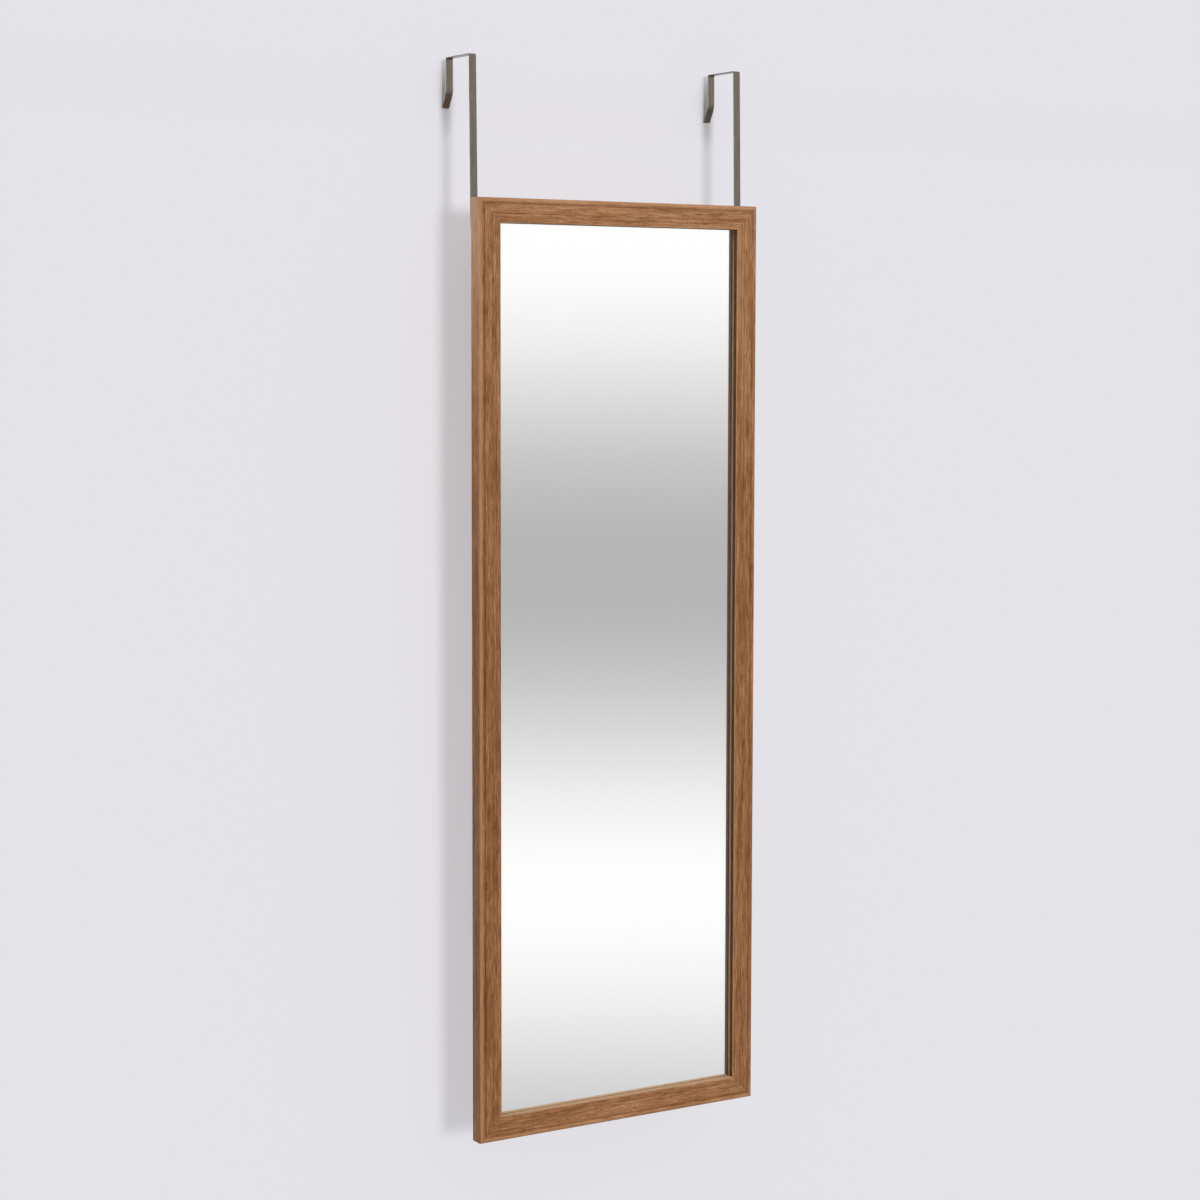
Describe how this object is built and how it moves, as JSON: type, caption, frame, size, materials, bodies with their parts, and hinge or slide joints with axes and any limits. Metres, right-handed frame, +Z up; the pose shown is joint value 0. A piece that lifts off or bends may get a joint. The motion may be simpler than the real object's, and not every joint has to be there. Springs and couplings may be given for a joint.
{
  "type": "over the door mirror",
  "caption": "Tall narrow wood-framed mirror with two flat metal hook straps that go over the top of a door, and rubber pads that keep its foot off the door.",
  "frame": {"origin": "on the top edge of the door, on the door's front face, midway between the two hooks", "axes": "+Z up, the mirror faces -Y, +X to the right as seen from the front"},
  "size_m": [0.33, 0.0829, 1.0805],
  "materials": {
    "frame_wood": "satin walnut wood grain foil on MDF, raw behind",
    "nail_steel": "blued",
    "clear_glass": "polished",
    "silver": "silvered, painted on its back",
    "cardboard": "plain",
    "backing": "hardboard, smooth side out",
    "tab_steel": "zinc",
    "hook_metal": "satin, taupe grey",
    "screw_steel": "zinc plated",
    "bumper_rubber": "matt"
  },
  "bodies": {
    "framed_mirror": {"top_rail": "frame_wood", "bottom_rail": "frame_wood", "left_stile": "frame_wood", "right_stile": "frame_wood", "top_left_v_nails": "nail_steel", "top_right_v_nails": "nail_steel", "bottom_left_v_nails": "nail_steel", "bottom_right_v_nails": "nail_steel", "mirror_glass": "clear_glass", "silver_coat": "silver", "cardboard_sheet": "cardboard", "backing_board": "backing", "top_tabs": "tab_steel", "bottom_tabs": "tab_steel", "left_tabs": "tab_steel", "right_tabs": "tab_steel", "left_hook_screws": "screw_steel", "right_hook_screws": "screw_steel", "left_hook_washers": "screw_steel", "right_hook_washers": "screw_steel", "left_bumper": "bumper_rubber", "right_bumper": "bumper_rubber"},
    "left_strap": {"left_hook": "hook_metal"},
    "right_strap": {"right_hook": "hook_metal"}
  },
  "joints": [
    {"name": "left_hook_slide", "type": "slide", "parent": "framed_mirror", "child": "left_strap", "axis": [0, 0, 1], "range_m": [-0.01, 0.01]},
    {"name": "right_hook_slide", "type": "slide", "parent": "framed_mirror", "child": "right_strap", "axis": [0, 0, 1], "range_m": [-0.01, 0.01]}
  ]
}
